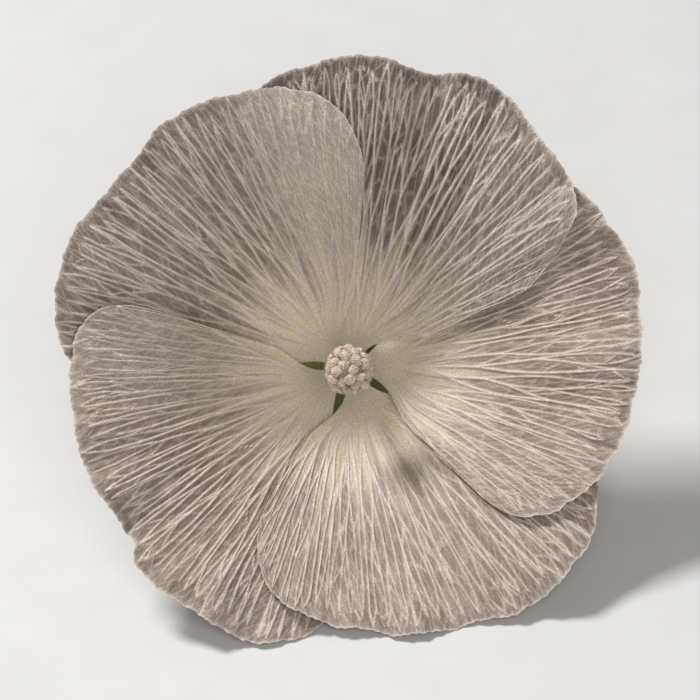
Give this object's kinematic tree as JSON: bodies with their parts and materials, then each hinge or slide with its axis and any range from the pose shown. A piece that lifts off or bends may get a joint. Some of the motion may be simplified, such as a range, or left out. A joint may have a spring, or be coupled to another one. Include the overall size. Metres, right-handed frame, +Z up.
{
  "type": "musk mallow flower",
  "caption": "Open mallow flower, picked with a short stalk: spirally overlapping veined petals round a funnel throat, a stamen column and head, a lobed calyx and bractlets",
  "frame": {"origin": "middle of the laid flower, on the surface it lies on", "axes": "+Z up from the surface; the open face looks along -Y and upward at a slant of about 39 degrees; +X to the right of the face"},
  "size_m": [0.0598, 0.0448, 0.0474],
  "materials": {
    "petal": "thin, dry and matt, pale greyed mauve with a fine raised net of veins, cream to green in the throat",
    "sepal": "pale green, ribbed and finely hairy",
    "column": "smooth cream, a little downy, greener at the foot",
    "stamen": "cream, dry and grainy with pollen",
    "stalk": "pale green, finely ribbed and hairy, with a paler cut end"
  },
  "bodies": {
    "root": {"petal_upper_left": "petal", "petal_upper_right": "petal", "petal_right": "petal", "petal_lower_right": "petal", "petal_left": "petal", "calyx": "sepal", "bractlet_1": "sepal", "bractlet_2": "sepal", "bractlet_3": "sepal", "staminal_column": "column", "stamen_01": "stamen", "stamen_02": "stamen", "stamen_03": "stamen", "stamen_04": "stamen", "stamen_05": "stamen", "stamen_06": "stamen", "stamen_07": "stamen", "stamen_08": "stamen", "stamen_09": "stamen", "stamen_10": "stamen", "stamen_11": "stamen", "stamen_12": "stamen", "stamen_13": "stamen", "stamen_14": "stamen", "stamen_15": "stamen", "stamen_16": "stamen", "stamen_17": "stamen", "stamen_18": "stamen", "stamen_19": "stamen", "stamen_20": "stamen", "stamen_21": "stamen", "stamen_22": "stamen", "stamen_23": "stamen", "stamen_24": "stamen", "stamen_25": "stamen", "stamen_26": "stamen", "stamen_27": "stamen", "stamen_28": "stamen", "stamen_29": "stamen", "stamen_30": "stamen", "stamen_31": "stamen", "stamen_32": "stamen", "stamen_33": "stamen", "stamen_34": "stamen", "stamen_35": "stamen", "stamen_36": "stamen", "stamen_37": "stamen", "stamen_38": "stamen", "stamen_39": "stamen", "stamen_40": "stamen", "stamen_41": "stamen", "stamen_42": "stamen", "stalk": "stalk"}
  },
  "joints": []
}
